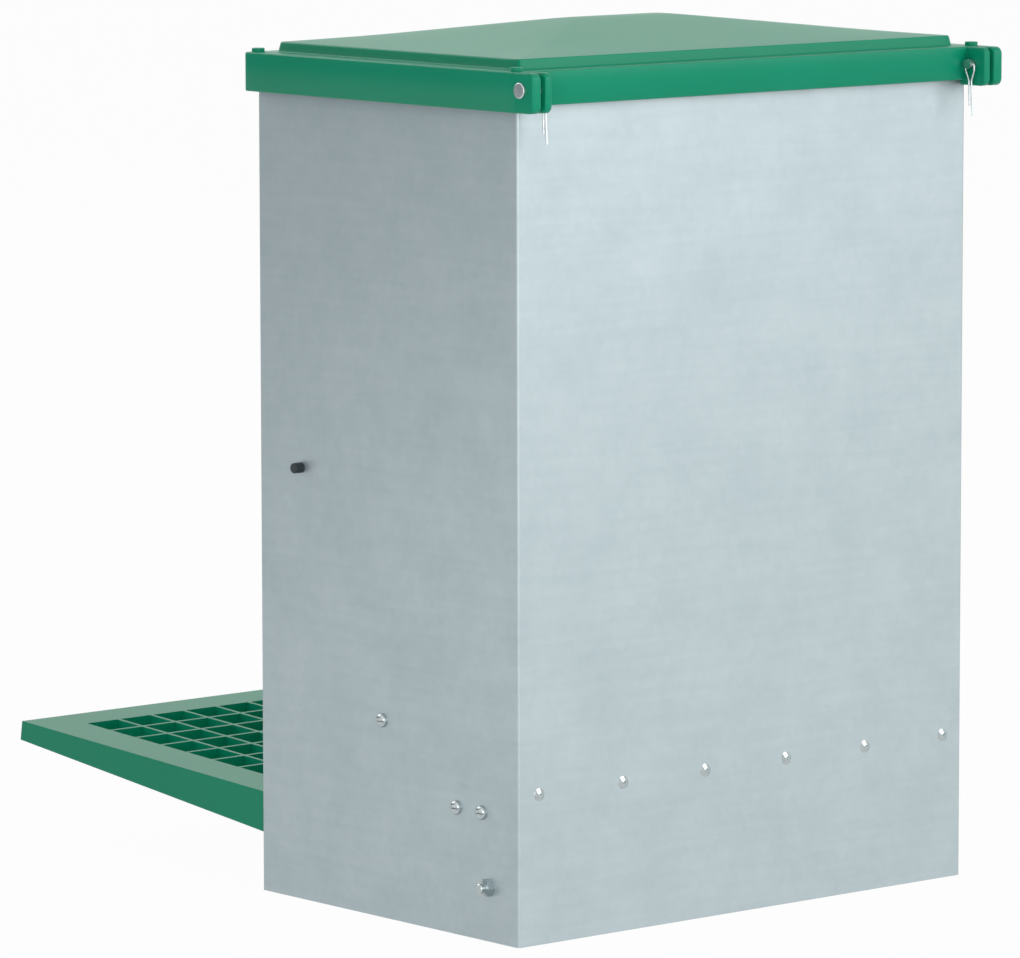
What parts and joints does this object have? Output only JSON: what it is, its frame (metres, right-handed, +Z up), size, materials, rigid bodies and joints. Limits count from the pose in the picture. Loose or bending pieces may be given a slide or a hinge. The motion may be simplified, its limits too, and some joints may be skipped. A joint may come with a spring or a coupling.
{
  "type": "treadle poultry feeder",
  "caption": "Sheet-steel gravity feeder with a hinged moulded lid; a grid treadle in front swings the trough flap inward through wire links.",
  "frame": {"origin": "on the ground, in the middle of the footprint's length and width, treadle and hinge ears included", "axes": "+Z up, -Y to the treadle and feeding side, +Y to the back panel, +X to the feeder's left seen from the front"},
  "size_m": [0.3174, 0.4362, 0.4473],
  "materials": {
    "galvanised_sheet": "galvanised sheet with fine spangle",
    "green_moulding": "moulded, satin",
    "zinc_fastener": "bright zinc",
    "bright_rod": "drawn bar",
    "spring_wire": "zinc-plated wire",
    "black_cap": "soft plastic"
  },
  "bodies": {
    "housing": {"body_shell": "galvanised_sheet", "front_panel": "galvanised_sheet", "hopper_baffle": "galvanised_sheet", "hopper_floor": "galvanised_sheet", "feed_trough": "galvanised_sheet", "flap_rod": "bright_rod", "back_rivets": "zinc_fastener", "front_rivets": "zinc_fastener", "baffle_rivets": "zinc_fastener", "floor_screws": "zinc_fastener", "floor_screw_nuts": "zinc_fastener", "baffle_screws": "zinc_fastener", "baffle_screw_nuts": "zinc_fastener", "pivot_washers": "zinc_fastener", "hinge_pin_left": "bright_rod", "hinge_pin_clip_left": "spring_wire", "pivot_bolt_left": "zinc_fastener", "pivot_sleeve_left": "bright_rod", "pivot_locknut_left": "zinc_fastener", "rod_cap_left": "black_cap", "return_spring_left": "spring_wire", "hinge_pin_right": "bright_rod", "hinge_pin_clip_right": "spring_wire", "pivot_bolt_right": "zinc_fastener", "pivot_sleeve_right": "bright_rod", "pivot_locknut_right": "zinc_fastener", "rod_cap_right": "black_cap", "return_spring_right": "spring_wire"},
    "lid": {"lid": "green_moulding"},
    "treadle": {"treadle": "green_moulding"},
    "flap": {"flap": "green_moulding"},
    "link_left": {"link_rod_left": "spring_wire"},
    "link_right": {"link_rod_right": "spring_wire"}
  },
  "joints": [
    {"name": "lid_hinge", "type": "hinge", "parent": "housing", "child": "lid", "pos_m": [0, 0.20945, 0.4215], "axis": [-1, 0, 0], "range_deg": [0, 180]},
    {"name": "treadle_pivot", "type": "hinge", "parent": "housing", "child": "treadle", "pos_m": [0, 0.17615, 0.0271], "axis": [1, 0, 0], "range_deg": [0, 6.5], "stiffness_Nm_per_rad": 4, "springref_deg": -14.9, "deforming": ["return_spring_left", "return_spring_right"]},
    {"name": "flap_pivot", "type": "hinge", "parent": "housing", "child": "flap", "pos_m": [0, 0.02935, 0.2215], "axis": [1, 0, 0], "range_deg": [0, 37]},
    {"name": "link_left_pivot", "type": "hinge", "parent": "treadle", "child": "link_left", "pos_m": [0.1415, 0.01875, 0.04], "axis": [1, 0, 0], "range_deg": [-6.7, 0]},
    {"name": "link_right_pivot", "type": "hinge", "parent": "treadle", "child": "link_right", "pos_m": [-0.1415, 0.01875, 0.04], "axis": [1, 0, 0], "range_deg": [-6.7, 0]}
  ],
  "couplings": [
    {"joint": "flap_pivot", "follows": "treadle_pivot", "ratio": 5.6922},
    {"joint": "link_left_pivot", "follows": "treadle_pivot", "ratio": -1.0208},
    {"joint": "link_right_pivot", "follows": "treadle_pivot", "ratio": -1.0208}
  ]
}
